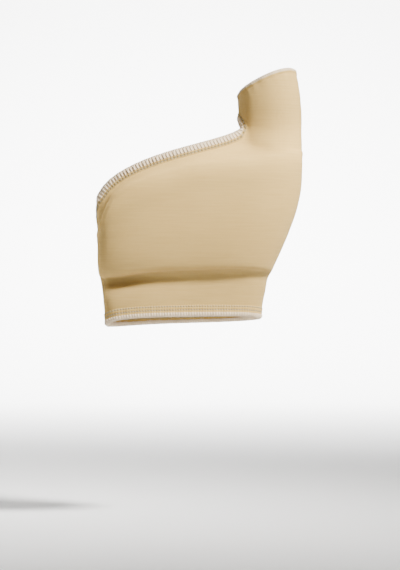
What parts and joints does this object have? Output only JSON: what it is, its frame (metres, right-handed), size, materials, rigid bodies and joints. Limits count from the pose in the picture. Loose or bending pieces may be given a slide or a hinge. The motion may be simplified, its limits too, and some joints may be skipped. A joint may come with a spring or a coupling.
{
  "type": "bunion sleeve",
  "caption": "Elastic knitted sleeve for a right foot with a bunion: a tube round the ball of the foot, a short tube for the big toe and bound hems.",
  "frame": {"origin": "middle of the foot inside the sleeve, at the ball line: halfway between the outer and inner borders of the foot", "axes": "+Z along the foot towards the toes, -Y out of the sole, +X towards the big toe"},
  "size_m": [0.1003, 0.061, 0.1255],
  "materials": {
    "knit": "fine matt elastic knit, beige",
    "thread": "cream overlocked thread"
  },
  "bodies": {
    "root": {"sleeve": "knit", "front_hem": "thread", "rear_hem": "thread", "toe_hem": "thread"}
  },
  "joints": []
}
